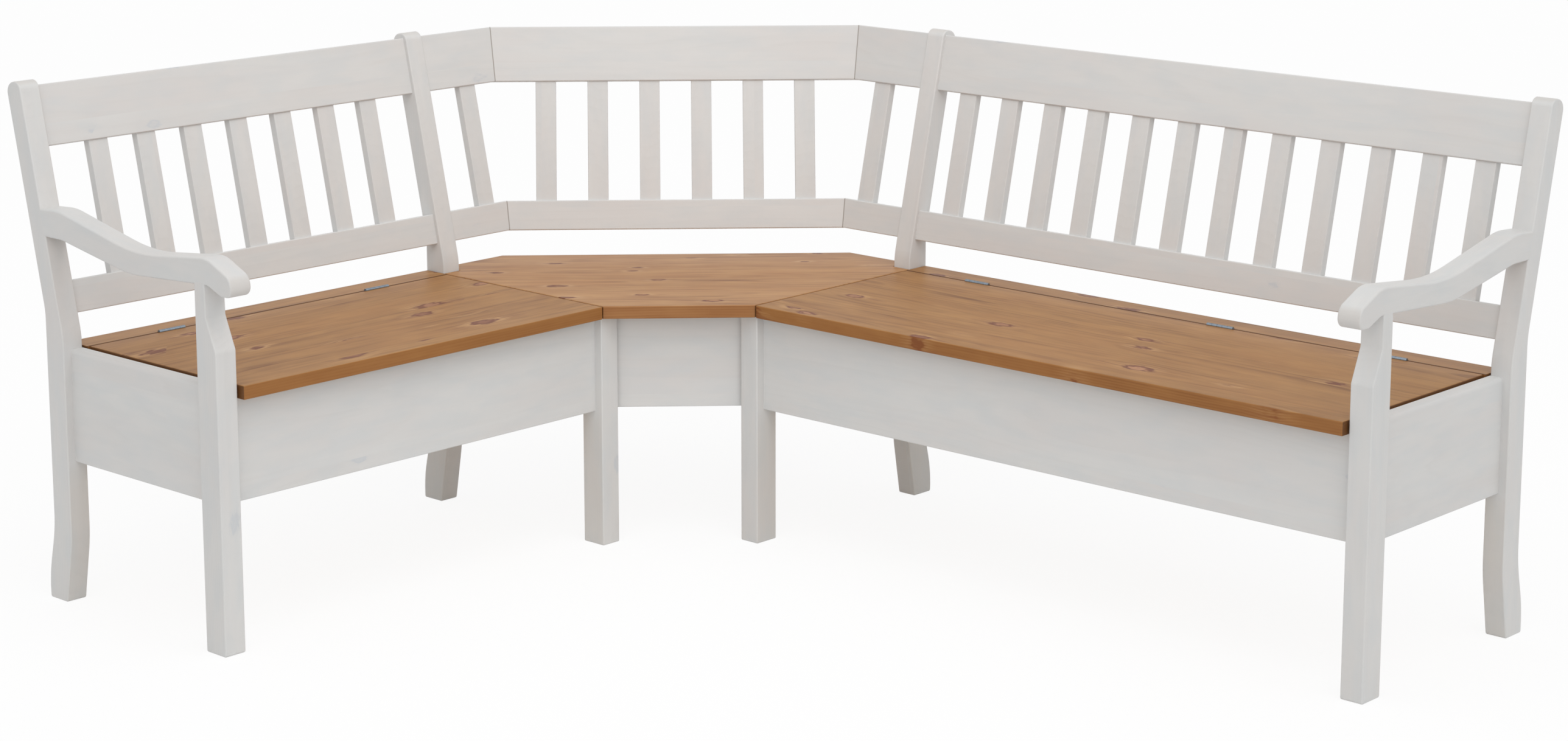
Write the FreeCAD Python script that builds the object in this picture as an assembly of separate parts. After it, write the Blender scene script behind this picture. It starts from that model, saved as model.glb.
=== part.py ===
import FreeCAD, Part
import math
import os
from FreeCAD import Placement, Rotation, Vector

# Corner storage bench: a short and a long bench at right angles, each a chest with a
# hinged seat, joined by a fixed corner seat with a three-part back.
#
# Each bench is drawn in its own frame: X is the depth from the back of the posts towards
# the room, Y runs along the bench away from the corner and Z is up. The short bench is
# then mirrored to run along -Y, and the long bench turned to run along +X.

# Overall sizes, from the back corner to the outer ends
short_length = 1560.0
long_length = 2000.0
seat_height = 460.0
seat_depth = 492.0
seat_thickness = 24.0
chest_floor_height = 256.0

# Posts at the back, with heights above the seat
post_width = 40.0
post_depth = 50.0
post_top_rise = 460.0
back_slope = 0.225
knee_rise = 20.0
knee_radius = 120.0
post_upper_depth = 41.0
post_front_crown = 16.0
post_rear_crown = 19.0
foot_splay = 20.0
foot_heel_top = 130.0
foot_heel_bottom = 42.0
foot_heel_draw = 1.0
foot_toe_top = 116.0
foot_curve_radius = 250.0

# Legs at the front, with heights above the seat
leg_width = 42.0
leg_depth = 52.0
leg_setback = 12.0
leg_neck_depth = 28.0
leg_neck_draw = 2.0
leg_shoulder_rise = 61.0
leg_neck_rise = 117.0

# Where the benches meet the corner: outer faces of the corner posts, from the back corner
post_reach = 687.0
inner_leg_step = 4.0
seam_width = 4.0

# Back rails and slats, measured up the slope of the back
top_rail_drop = 10.5
top_rail_width = 108.0
lower_rail_rise = 38.5
lower_rail_width = 58.0
rail_thickness = 24.0
rail_recess = 8.0
corner_rail_recess = 3.0
tenon_length = 12.0
tenon_shoulder = 6.0
slat_width = 40.0
slat_thickness = 16.0
slat_recess = 4.0
slat_pitch = 102.4
slat_end_gap = 40.0
slat_tenon = 10.0

# Corner back and corner seat
diagonal_back_reach = 394.5
corner_slat_gap = 24.0
corner_seat_cut = 497.0
corner_seat_front_step = 2.0
apron_thickness = 20.0
apron_setback = 12.0
apron_block_width = 18.0
apron_block_back = 13.0
apron_block_inset = 20.0
post_clearance = 1.0

# Chest panels
side_panel_recess = 16.0
side_panel_thickness = 24.0
side_panel_step = 3.0
side_panel_round = 8.0
inner_panel_thickness = 24.0
inner_panel_inset = 2.0
front_panel_recess = 18.0
front_panel_thickness = 24.0
rear_panel_inset = 10.0
rear_panel_thickness = 18.0
tongue_length = 10.0
tongue_thickness = 10.0
cleat_width = 18.0
cleat_height = 16.0
cleat_lift = 2.0
bottom_thickness = 10.0
bottom_clearance = 0.5

# Seat boards
seat_back_inset = 4.0
hinge_setback = 12.0
hinge_gap = 2.0
lid_end_gap = 4.0
strip_end_gap = 1.0
lid_batten_width = 60.0
lid_batten_thickness = 18.0
lid_batten_end = 150.0
lid_batten_back = 20.0
lid_batten_front = 15.0
short_lid_batten_count = 2
long_lid_batten_count = 3
corner_batten_gap = 27.0
corner_batten_back = 40.0
corner_batten_front = 40.0

# Armrests: a hump at the post, a dip, a swell over the leg and a rolled nose
arm_rise = 240.0
arm_thickness = 47.0
arm_tail = 12.0
arm_hump_rise = 4.0
arm_hump_round = 130.0
arm_dip_place = 158.0
arm_dip_drop = 42.0
arm_dip_round = 380.0
arm_swell_place = 18.0
arm_swell_drop = 22.0
arm_swell_round = 60.0
arm_nose_reach = 46.0
arm_nose_drop = 50.0
arm_nose_height = 32.0
arm_nose_round = 24.0
arm_nose_under_round = 15.0
arm_nose_back = 17.0
arm_under_rise = 14.0
arm_under_round = 30.0
arm_under_dip_place = 178.0
arm_under_dip_round = 250.0
arm_under_dip_drop = 33.0
arm_under_hump_place = 8.0
arm_under_hump_round = 90.0

# Butt hinges in the seam behind each lid
hinge_length = 56.0
hinge_end_distance = 175.0
long_middle_hinge = 732.0
knuckle_radius = 3.5
knuckle_rise = 0.5
knuckle_count = 5
knuckle_gap = 0.3
knuckle_clearance = 0.5
knuckle_web = 1.0
leaf_thickness = 1.0
leaf_height = 20.0
pin_radius = 1.3
pin_clearance = 0.05
screw_radius = 1.6
screw_head_radius = 3.0
screw_head_height = 0.9
screw_length = 16.0
screw_drop = 13.0
screw_spread = 38.0
batten_screw_count = 3
batten_screw_end = 35.0
batten_screw_length = 34.0

# Dowels
arm_dowel_radius = 5.0
arm_dowel_half = 20.0
arm_dowel_drop = 21.0
rail_dowel_radius = 4.0
rail_dowel_length = 40.0
rail_dowel_in_post = 15.0
mitre_dowel_radius = 3.5
mitre_dowel_length = 30.0

# Softened edges
foot_round = 4.0
leg_round = 12.0
edge_round = 2.5
arm_edge_round = 3.5
board_round = 2.0
slat_round = 1.5

# Two measures closer than this are the same
same_place = 0.001

# Sizes that follow
slope_angle = math.atan(back_slope)
slope_up = Vector(-math.sin(slope_angle), 0, math.cos(slope_angle))
slope_back = Vector(-math.cos(slope_angle), 0, -math.sin(slope_angle))
knee_height = seat_height + knee_rise
post_top_height = seat_height + post_top_rise
arm_height = seat_height + arm_rise
back_rise = (post_top_height - knee_height) / math.cos(slope_angle)
top_rail_rise = back_rise - top_rail_drop - top_rail_width
board_underside = seat_height - seat_thickness
leg_front = seat_depth - leg_setback
leg_back = leg_front - leg_depth
inner_leg_reach = post_reach - inner_leg_step
lid_reach = post_reach + seam_width
hinge_line = post_depth + hinge_setback
post_corner_face = post_reach - post_width
leg_corner_face = inner_leg_reach - leg_width
root_two = math.sqrt(2.0)
mitre_angle = math.radians(22.5)
apron_reach = (leg_front + leg_corner_face) / root_two - apron_setback

bench_lengths = {"short": short_length, "long": long_length}
lid_batten_counts = {"short": short_lid_batten_count, "long": long_lid_batten_count}

pieces = {}


def box(low, high):
    """A box between two corners."""
    size = high - low
    return Part.makeBox(size.x, size.y, size.z, low)


def corner_reaches(points, radii):
    """How far each rounding reaches along its sides, limited by the sides it lies on."""
    count = len(points)
    reaches = []
    for index in range(count):
        to_before = points[index - 1] - points[index]
        to_after = points[(index + 1) % count] - points[index]
        reaches.append(radii[index] / math.tan(to_before.getAngle(to_after) / 2))
    limits = [1.0] * count
    for index in range(count):
        side = points[index - 1].distanceToPoint(points[index])
        wanted = reaches[index - 1] + reaches[index]
        if wanted > side:
            limits[index - 1] = min(limits[index - 1], side / wanted)
            limits[index] = min(limits[index], side / wanted)
    return [reach * limit for reach, limit in zip(reaches, limits)]


def rounded_outline(corners):
    """A closed wire in the XZ plane through (x, z, radius) corners."""
    points = [Vector(x, 0, z) for x, z, radius in corners]
    reaches = corner_reaches(points, [radius for x, z, radius in corners])
    edges = []
    starts = []
    ends = []
    for index, here in enumerate(points):
        to_before = (points[index - 1] - here).normalize()
        to_after = (points[(index + 1) % len(points)] - here).normalize()
        reach = reaches[index]
        starts.append(here + to_before * reach)
        ends.append(here + to_after * reach)
        if reach > 0:
            half = to_before.getAngle(to_after) / 2
            radius = reach * math.tan(half)
            middle = (to_before + to_after).normalize()
            nearest = here + middle * (radius / math.sin(half) - radius)
            edges.append(Part.Arc(starts[-1], nearest, ends[-1]).toShape())
    for index, start in enumerate(starts):
        begin = ends[index - 1]
        if begin.distanceToPoint(start) > same_place:
            edges.append(Part.LineSegment(begin, start).toShape())
    return Part.Wire(Part.__sortEdges__(edges))


def plank(corners, start, width, softening=0.0):
    """A rounded outline in XZ given a width along Y, with both rims softened."""
    face = Part.Face(rounded_outline(corners))
    face.translate(Vector(0, start, 0))
    solid = face.extrude(Vector(0, width, 0))
    if softening == 0:
        return solid
    rims = [edge for edge in solid.Edges if edge.BoundBox.YLength < same_place]
    return solid.makeFillet(softening, rims)


def soft_box(low, high, softening):
    """A box with all its edges softened."""
    solid = box(low, high)
    return solid.makeFillet(softening, solid.Edges)


def wood_screw(place, away, length):
    """A countersunk screw with its head's face at a place."""
    head = Part.makeCone(screw_head_radius, screw_radius, screw_head_height, place, away)
    shank = Part.makeCylinder(screw_radius, length, place, away)
    return head.fuse(shank).removeSplitter()


def slope_point(rise, behind):
    """A point on the sloping back: rise up the slope, behind the front of the posts."""
    knee = Vector(post_depth, 0, knee_height)
    return knee + slope_up * rise + slope_back * behind


def slope_board(rise, width, behind, thickness, start, end):
    """A board lying along the sloping back between two places along the bench."""
    low_front = slope_point(rise, behind)
    high_front = slope_point(rise + width, behind)
    high_back = slope_point(rise + width, behind + thickness)
    low_back = slope_point(rise, behind + thickness)
    corners = [low_front, high_front, high_back, low_back]
    face = Part.Face(Part.makePolygon(corners + [low_front]))
    face.translate(Vector(0, start, 0))
    return face.extrude(Vector(0, end - start, 0))


def slope_dowel(rise, behind, start, length, radius):
    """A dowel running along the bench in the thickness of the sloping back."""
    place = slope_point(rise, behind)
    return Part.makeCylinder(radius, length, Vector(place.x, start, place.z), Vector(0, 1, 0))


def group(solids):
    """Several separate solids kept as one piece."""
    return Part.makeCompound(solids)


def run_long(shape):
    """Turns a bench piece into place on the long side."""
    turned = shape.copy()
    turned.rotate(Vector(0, 0, 0), Vector(0, 0, 1), -90)
    return turned


def run_short(shape):
    """Mirrors a bench piece into place on the short side."""
    return shape.mirror(Vector(0, 0, 0), Vector(0, 1, 0))


def run_diagonal(shape):
    """Turns a piece so that its depth runs out of the back corner."""
    turned = shape.copy()
    turned.rotate(Vector(0, 0, 0), Vector(0, 0, 1), -45)
    return turned


run = {"short": run_short, "long": run_long}


def half_space(point, normal):
    """A block that fills everything on one side of a plane."""
    size = 2 * max(short_length, long_length)
    block = Part.makeBox(size, size, size, Vector(-size / 2, -size / 2, 0))
    block.Placement = Placement(point, Rotation(Vector(0, 0, 1), normal))
    return block


# Back posts with a splayed foot and a sloping upper half
def post(start):
    crown = slope_point(back_rise, 0)
    crown_back = crown + slope_back * (post_upper_depth * math.cos(slope_angle))
    rear_knee = knee_height + (post_depth - post_upper_depth) / back_slope
    corners = [
        (-foot_splay, 0, foot_round),
        (post_depth - foot_splay, 0, foot_round),
        (post_depth, foot_toe_top, foot_curve_radius),
        (post_depth, knee_height, knee_radius),
        (crown.x, crown.z, post_front_crown),
        (crown_back.x, crown_back.z, post_rear_crown),
        (0, rear_knee, knee_radius),
        (0, foot_heel_top, foot_curve_radius),
        (-foot_splay - foot_heel_draw, foot_heel_bottom, foot_curve_radius),
    ]
    return plank(corners, start, post_width, edge_round)


# Front legs: the outer one narrows above the seat and carries the armrest
def outer_leg(length):
    top = arm_height - arm_thickness
    corners = [
        (leg_back, 0, foot_round),
        (leg_front, 0, foot_round),
        (leg_front, seat_height + leg_shoulder_rise, leg_round),
        (leg_back + leg_neck_depth, seat_height + leg_neck_rise, leg_round),
        (leg_back + leg_neck_depth - leg_neck_draw, top, 0),
        (leg_back, top, 0),
    ]
    return plank(corners, length - leg_width, leg_width, edge_round)


def inner_leg():
    low = Vector(leg_back, leg_corner_face, 0)
    high = Vector(leg_front, inner_leg_reach, board_underside)
    return soft_box(low, high, edge_round)


# Armrest with a raised back end, a dip and a rolled front
def armrest(length):
    under = arm_height - arm_thickness
    nose = leg_front + arm_nose_reach
    nose_under = arm_height - arm_nose_drop - arm_nose_height
    corners = [
        (-arm_tail, arm_height, 0),
        (post_depth, arm_height + arm_hump_rise, arm_hump_round),
        (leg_back - arm_dip_place, arm_height - arm_dip_drop, arm_dip_round),
        (leg_front - arm_swell_place, arm_height - arm_swell_drop, arm_swell_round),
        (nose, arm_height - arm_nose_drop, arm_nose_round),
        (nose, nose_under, arm_nose_under_round),
        (leg_front + arm_nose_back, nose_under, arm_nose_under_round / 2),
        (leg_front - arm_swell_place, nose_under + arm_under_rise, arm_under_round),
        (leg_back - arm_under_dip_place, under - arm_under_dip_drop, arm_under_dip_round),
        (post_depth + arm_under_hump_place, under, arm_under_hump_round),
        (-arm_tail, under, 0),
    ]
    return plank(corners, length - leg_width, leg_width, arm_edge_round)


# Back rails and slats
def rail_board(rise, width, behind, start, end):
    """A rail's board on the sloping back, with its long edges softened."""
    board = slope_board(rise, width, behind, rail_thickness, start, end)
    long_edges = [edge for edge in board.Edges
                  if abs(edge.BoundBox.YLength - (end - start)) < same_place]
    return board.makeFillet(board_round, long_edges)


def bench_rail(rise, width, length):
    start = post_reach
    end = length - post_width
    body = rail_board(rise, width, rail_recess, start, end)
    tenon = slope_board(
        rise + tenon_shoulder,
        width - 2 * tenon_shoulder,
        rail_recess + tenon_shoulder,
        rail_thickness - 2 * tenon_shoulder,
        start - tenon_length,
        end + tenon_length,
    )
    return body.fuse(tenon).removeSplitter()


def slat(recess, centre):
    rise = lower_rail_rise + lower_rail_width - slat_tenon
    width = top_rail_rise + slat_tenon - rise
    behind = recess + slat_recess
    start = centre - slat_width / 2
    solid = slope_board(rise, width, behind, slat_thickness, start, start + slat_width)
    long_edges = [edge for edge in solid.Edges if edge.BoundBox.YLength < same_place
                  and abs(edge.Length - width) < same_place]
    return solid.makeFillet(slat_round, long_edges)


def slat_centres(start, end):
    """Centres of evenly pitched slats, as many as fit, centred between two ends."""
    room = end - start - 2 * slat_end_gap - slat_width
    count = int(room // slat_pitch) + 1
    middle = (start + end) / 2
    first = middle - slat_pitch * (count - 1) / 2
    return [first + slat_pitch * index for index in range(count)]


# Chest panels
def lengthwise_panel(back, front, start, end, seen):
    """A panel along the bench, tongued into its posts or legs; its seen face is at one depth."""
    middle = (front + back) / 2
    half = tongue_thickness / 2
    body = box(Vector(back, start, chest_floor_height), Vector(front, end, board_underside))
    seen_bottom = [edge for edge in body.Edges
                   if abs(edge.BoundBox.ZMax - chest_floor_height) < same_place
                   and abs(edge.CenterOfMass.x - seen) < same_place]
    body = body.makeFillet(board_round, seen_bottom)
    low = Vector(middle - half, start - tongue_length, chest_floor_height + tongue_length)
    high = Vector(middle + half, end + tongue_length, board_underside - tongue_length)
    return body.fuse(box(low, high)).removeSplitter()


def front_panel(length):
    front = leg_front - front_panel_recess
    back = front - front_panel_thickness
    return lengthwise_panel(back, front, inner_leg_reach, length - leg_width, front)


def rear_panel(length):
    back = rear_panel_inset
    front = back + rear_panel_thickness
    return lengthwise_panel(back, front, post_reach, length - post_width, back)


def side_panel(start, end, top, rounding):
    """A panel between a post and a leg, with its outer top edge rounded over."""
    body = box(Vector(post_depth, start, chest_floor_height), Vector(leg_back, end, top))
    if rounding > 0:
        outer_edges = [edge for edge in body.Edges
                       if abs(edge.BoundBox.YMin - end) < same_place
                       and edge.BoundBox.ZLength < same_place]
        outer_edges.sort(key=lambda edge: edge.CenterOfMass.z)
        body = body.makeFillet(board_round, outer_edges[:1])
        outer_top = [edge for edge in body.Edges
                     if abs(edge.BoundBox.YMin - end) < same_place
                     and abs(edge.BoundBox.ZMin - top) < same_place]
        body = body.makeFillet(rounding, outer_top)
    middle = (start + end) / 2
    half = tongue_thickness / 2
    low = Vector(post_depth - tongue_length, middle - half, chest_floor_height + tongue_length)
    high = Vector(leg_back + tongue_length, middle + half, board_underside - tongue_length)
    return body.fuse(box(low, high)).removeSplitter()


def outer_side_panel(length):
    end = length - side_panel_recess
    top = seat_height - side_panel_step
    return side_panel(end - side_panel_thickness, end, top, side_panel_round)


def inner_side_panel():
    end = inner_leg_reach - inner_panel_inset
    return side_panel(end - inner_panel_thickness, end, board_underside, 0)


# Chest bottom on cleats along the four panels
def outer_inside(length):
    """Where the room between the outer post, leg and side panel ends."""
    return length - max(post_width, leg_width, side_panel_recess + side_panel_thickness)


def chest_inside(length):
    """Faces of the chest inside: back, front, corner end and outer end."""
    back = rear_panel_inset + rear_panel_thickness
    front = leg_front - front_panel_recess - front_panel_thickness
    start = inner_leg_reach - inner_panel_inset
    end = length - side_panel_recess - side_panel_thickness
    return back, front, start, end


def bottom_cleats(length):
    back, front, start, end = chest_inside(length)
    low = chest_floor_height + cleat_lift
    high = low + cleat_height
    side_back = post_depth
    side_front = leg_back
    cleats = [
        box(Vector(side_back, start, low), Vector(side_front, start + cleat_width, high)),
        box(Vector(side_back, end - cleat_width, low), Vector(side_front, end, high)),
    ]
    first = start + cleat_width
    last = end - cleat_width
    cleats.append(box(Vector(back, first, low), Vector(back + cleat_width, last, high)))
    cleats.append(box(Vector(front - cleat_width, first, low), Vector(front, last, high)))
    return group(cleats)


def chest_bottom(length):
    back, front, start, end = chest_inside(length)
    low = chest_floor_height + cleat_lift + cleat_height
    first = max(post_reach, start) + bottom_clearance
    last = outer_inside(length) - bottom_clearance
    near = Vector(back + bottom_clearance, first, low)
    far = Vector(front - bottom_clearance, last, low + bottom_thickness)
    return box(near, far)


# Seat boards of one bench
def hinge_strip(length):
    low = Vector(seat_back_inset, post_reach + strip_end_gap, board_underside)
    high = Vector(hinge_line - hinge_gap / 2, outer_inside(length) - strip_end_gap, seat_height)
    return soft_box(low, high, board_round / 2)


def lid(length):
    low = Vector(hinge_line + hinge_gap / 2, lid_reach, board_underside)
    high = Vector(seat_depth, outer_inside(length) - lid_end_gap, seat_height)
    return soft_box(low, high, board_round)


def batten_centres(length, count):
    start = lid_reach + lid_batten_end
    end = outer_inside(length) - lid_end_gap - lid_batten_end
    return [start + (end - start) * index / (count - 1) for index in range(count)]


def batten_ends():
    """Back and front ends of the battens, clear of the hinges and the front panel."""
    back = hinge_line + lid_batten_back
    front = leg_front - front_panel_recess - front_panel_thickness - lid_batten_front
    return back, front


def lid_battens(length, count):
    back, front = batten_ends()
    low = board_underside - lid_batten_thickness
    battens = []
    for centre in batten_centres(length, count):
        near = Vector(back, centre - lid_batten_width / 2, low)
        far = Vector(front, centre + lid_batten_width / 2, board_underside)
        battens.append(box(near, far))
    return group(battens)


def batten_screws(length, count):
    """Countersunk screws from below, a row along each batten."""
    back, front = batten_ends()
    low = board_underside - lid_batten_thickness
    screws = []
    for centre in batten_centres(length, count):
        for index in range(batten_screw_count):
            share = index / (batten_screw_count - 1)
            first = back + batten_screw_end
            last = front - batten_screw_end
            place = Vector(first + (last - first) * share, centre, low)
            screws.append(wood_screw(place, Vector(0, 0, 1), batten_screw_length))
    return group(screws)


# Hinges
def hinge_centres(name, length):
    first = lid_reach + hinge_end_distance
    last = outer_inside(length) - lid_end_gap - hinge_end_distance
    if name == "short":
        return [first, last]
    return [first, lid_reach + long_middle_hinge, last]


def knuckle_cylinder(centre, radius, first, last):
    """A cylinder on the hinge line over some of the knuckle places."""
    pitch = hinge_length / knuckle_count
    start = centre - hinge_length / 2 + pitch * first
    length = pitch * (last - first)
    place = Vector(hinge_line, start, seat_height + knuckle_rise)
    return Part.makeCylinder(radius, length, place, Vector(0, 1, 0))


def hinge_leaf(centre, side):
    """A leaf against the strip (side -1) or the lid (side 1), with its knuckles."""
    face = hinge_line + side * hinge_gap / 2
    low_x = min(face, face + side * leaf_thickness)
    top = seat_height
    start = centre - hinge_length / 2
    leaf = box(
        Vector(low_x, start, top - leaf_height),
        Vector(low_x + leaf_thickness, start + hinge_length, top),
    )
    leaf = leaf.cut(knuckle_cylinder(centre, knuckle_radius + knuckle_clearance, 0, knuckle_count))
    own = range(0, knuckle_count, 2) if side < 0 else range(1, knuckle_count, 2)
    pitch = hinge_length / knuckle_count
    bore_radius = pin_radius if side < 0 else pin_radius + pin_clearance
    for index in own:
        begin = start + pitch * index + knuckle_gap / 2
        length = pitch - knuckle_gap
        axis_point = Vector(hinge_line, begin, seat_height + knuckle_rise)
        knuckle = Part.makeCylinder(knuckle_radius, length, axis_point, Vector(0, 1, 0))
        drop = knuckle_radius + knuckle_clearance + knuckle_web
        web = box(
            Vector(low_x, begin, seat_height + knuckle_rise - drop),
            Vector(low_x + leaf_thickness, begin + length, seat_height),
        )
        leaf = leaf.fuse(knuckle.fuse(web))
    bore = knuckle_cylinder(centre, bore_radius, 0, knuckle_count)
    return leaf.cut(bore).removeSplitter()


def hinge_pin(centre):
    return knuckle_cylinder(centre, pin_radius, 0, knuckle_count)


def hinge_screws(centre, side):
    """Two countersunk screws through one leaf."""
    face = hinge_line + side * hinge_gap / 2
    screws = []
    for offset in (-screw_spread / 2, screw_spread / 2):
        place = Vector(face, centre + offset, seat_height - screw_drop)
        screws.append(wood_screw(place, Vector(side, 0, 0), screw_length))
    return screws


def barrel_groove(centre):
    """Room for the knuckles in the edges of the strip and the lid."""
    start = centre - hinge_length / 2 - knuckle_gap
    place = Vector(hinge_line, start, seat_height + knuckle_rise)
    length = hinge_length + 2 * knuckle_gap
    return Part.makeCylinder(knuckle_radius + knuckle_clearance, length, place, Vector(0, 1, 0))


def make_hinges(name, length):
    strip = pieces[name + "_hinge_strip"]
    board = pieces[name + "_lid"]
    leaves = {-1: [], 1: []}
    screws = {-1: [], 1: []}
    pins = []
    for centre in hinge_centres(name, length):
        for side in (-1, 1):
            leaf = hinge_leaf(centre, side)
            these = hinge_screws(centre, side)
            leaves[side].append(leaf.cut(group(these)))
            screws[side] += these
        pins.append(hinge_pin(centre))
        groove = barrel_groove(centre)
        strip = strip.cut(groove)
        board = board.cut(groove)
    pieces[name + "_hinge_strip"] = strip.cut(group(leaves[-1] + screws[-1]))
    pieces[name + "_lid"] = board.cut(group(leaves[1] + screws[1]))
    pieces[name + "_hinge_strip_leaves"] = group(leaves[-1])
    pieces[name + "_hinge_lid_leaves"] = group(leaves[1])
    pieces[name + "_hinge_pins"] = group(pins)
    pieces[name + "_strip_screws"] = group(screws[-1])
    pieces[name + "_lid_screws"] = group(screws[1])


# One whole bench
def arm_dowels(length):
    middle = length - leg_width / 2
    height = arm_height - arm_dowel_drop
    post_face = slope_point((height - knee_height) / math.cos(slope_angle), 0).x
    back = Vector(post_face - arm_dowel_half, length - post_width / 2, height)
    rear = Part.makeCylinder(arm_dowel_radius, 2 * arm_dowel_half, back, Vector(1, 0, 0))
    nose_under = arm_height - arm_nose_drop - arm_nose_height
    arm_foot = nose_under + arm_under_rise
    foot = Vector(leg_back + leg_neck_depth / 2, middle, arm_foot - arm_dowel_half)
    front = Part.makeCylinder(arm_dowel_radius, 2 * arm_dowel_half, foot, Vector(0, 0, 1))
    return [rear, front]


def make_bench(name):
    length = bench_lengths[name]
    outer_post = post(length - post_width)
    corner_post = post(post_corner_face)
    arm = armrest(length).cut(outer_post)
    leg = outer_leg(length).cut(arm)
    corner_leg = inner_leg()
    front = front_panel(length)
    rear = rear_panel(length)
    outer_side = outer_side_panel(length)
    inner_side = inner_side_panel()
    top_rail = bench_rail(top_rail_rise, top_rail_width, length)
    lower_rail = bench_rail(lower_rail_rise, lower_rail_width, length)
    centres = slat_centres(post_reach, length - post_width)
    slats = group([slat(rail_recess, centre) for centre in centres])
    dowels = group(arm_dowels(length))
    pieces[name + "_outer_post"] = outer_post.cut(
        group([rear, outer_side, top_rail, lower_rail, dowels]))
    pieces[name + "_corner_post"] = corner_post.cut(
        group([rear, inner_side, top_rail, lower_rail]))
    pieces[name + "_outer_leg"] = leg.cut(group([front, outer_side, dowels]))
    pieces[name + "_inner_leg"] = corner_leg.cut(group([front, inner_side]))
    pieces[name + "_armrest"] = arm.cut(dowels)
    pieces[name + "_arm_dowels"] = dowels
    pieces[name + "_top_rail"] = top_rail.cut(slats)
    pieces[name + "_lower_rail"] = lower_rail.cut(slats)
    pieces[name + "_back_slats"] = slats
    pieces[name + "_front_panel"] = front
    pieces[name + "_rear_panel"] = rear
    pieces[name + "_outer_side_panel"] = outer_side
    pieces[name + "_inner_side_panel"] = inner_side
    pieces[name + "_bottom_cleats"] = bottom_cleats(length)
    pieces[name + "_chest_bottom"] = chest_bottom(length)
    pieces[name + "_hinge_strip"] = hinge_strip(length)
    battens = lid_battens(length, lid_batten_counts[name])
    screws = batten_screws(length, lid_batten_counts[name])
    pieces[name + "_lid"] = lid(length).cut(screws)
    pieces[name + "_lid_battens"] = battens.cut(screws)
    pieces[name + "_batten_screws"] = screws
    make_hinges(name, length)


# The corner back: side, diagonal and side boards, mitred together
def mitre_point():
    """Where the side and diagonal boards meet at knee height, in the short bench frame."""
    side_depth = post_depth - corner_rail_recess
    diagonal_depth = diagonal_back_reach - corner_rail_recess
    return Vector(side_depth, root_two * diagonal_depth - side_depth, 0)


def mitre_normal():
    """Along the bench and away from the diagonal board, square to the mitre."""
    return Vector(-math.sin(mitre_angle), math.cos(mitre_angle), 0)


def mitre_along(rise):
    """How far along the bench the front of the mitre lies, at a height on the slope."""
    drift = slope_point(rise, 0).x - post_depth
    return mitre_point().y + drift * math.tan(mitre_angle)


def diagonal_half(rise):
    """Half the front width of the diagonal board, at a height on the slope."""
    drift = slope_point(rise, 0).x - post_depth
    return root_two * mitre_along(rise) - (diagonal_back_reach - corner_rail_recess + drift)


def side_rail(rise, width):
    board = rail_board(rise, width, corner_rail_recess, 0, post_corner_face)
    return board.common(half_space(mitre_point(), mitre_normal()))


def diagonal_rail(rise, width):
    reach = diagonal_back_reach
    board = rail_board(rise, width, corner_rail_recess, -reach, reach)
    board.translate(Vector(reach - post_depth, 0, 0))
    board = run_diagonal(board)
    for place in (run_short, run_long):
        board = board.cut(place(half_space(mitre_point(), mitre_normal())))
    return board


def corner_dowels(rise, width, count):
    """Dowels from a side rail into its post."""
    behind = corner_rail_recess + rail_thickness / 2
    start = post_corner_face + rail_dowel_in_post - rail_dowel_length
    dowels = []
    for index in range(count):
        place = rise + width * (index + 0.5) / count
        dowels.append(slope_dowel(place, behind, start, rail_dowel_length, rail_dowel_radius))
    return dowels


def mitre_dowels(rise, width, count):
    """Dowels square across one mitre."""
    dowels = []
    normal = mitre_normal()
    for index in range(count):
        place = rise + width * (index + 0.5) / count
        middle = slope_point(place, corner_rail_recess + rail_thickness / 2)
        moved = middle.x - (post_depth - corner_rail_recess)
        along = mitre_point().y + moved * math.tan(mitre_angle)
        centre = Vector(middle.x, along, middle.z)
        start = centre - normal * (mitre_dowel_length / 2)
        dowels.append(Part.makeCylinder(mitre_dowel_radius, mitre_dowel_length, start, normal))
    return dowels


def make_corner_back():
    side_start = mitre_along(lower_rail_rise) + corner_slat_gap
    side_slat = slat(corner_rail_recess, side_start + slat_width / 2)
    half = diagonal_half(lower_rail_rise)
    diagonal_slats = []
    for centre in slat_centres(-half, half):
        solid = slat(corner_rail_recess, centre)
        solid.translate(Vector(diagonal_back_reach - post_depth, 0, 0))
        diagonal_slats.append(run_diagonal(solid))
    pieces["corner_diagonal_slats"] = group(diagonal_slats)
    post_dowels = []
    joint_dowels = []
    rails = {"top": (top_rail_rise, top_rail_width, 2), "lower": (lower_rail_rise, lower_rail_width, 1)}
    for level, (rise, width, count) in rails.items():
        ends = corner_dowels(rise, width, count)
        joints = mitre_dowels(rise, width, count)
        side = side_rail(rise, width).cut(group(ends + joints + [side_slat]))
        diagonal = diagonal_rail(rise, width).cut(pieces["corner_diagonal_slats"])
        for name, place in run.items():
            pieces["corner_" + name + "_" + level + "_rail"] = place(side)
            diagonal = diagonal.cut(place(group(joints)))
            post_dowels += [place(dowel) for dowel in ends]
            joint_dowels += [place(dowel) for dowel in joints]
        pieces["corner_diagonal_" + level + "_rail"] = diagonal
    for name, place in run.items():
        pieces["corner_" + name + "_slat"] = place(side_slat)
        own_post = pieces[name + "_corner_post"]
        pieces[name + "_corner_post"] = own_post.cut(group(post_dowels))
    pieces["corner_back_dowels"] = group(post_dowels)
    pieces["corner_mitre_dowels"] = group(joint_dowels)


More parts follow.
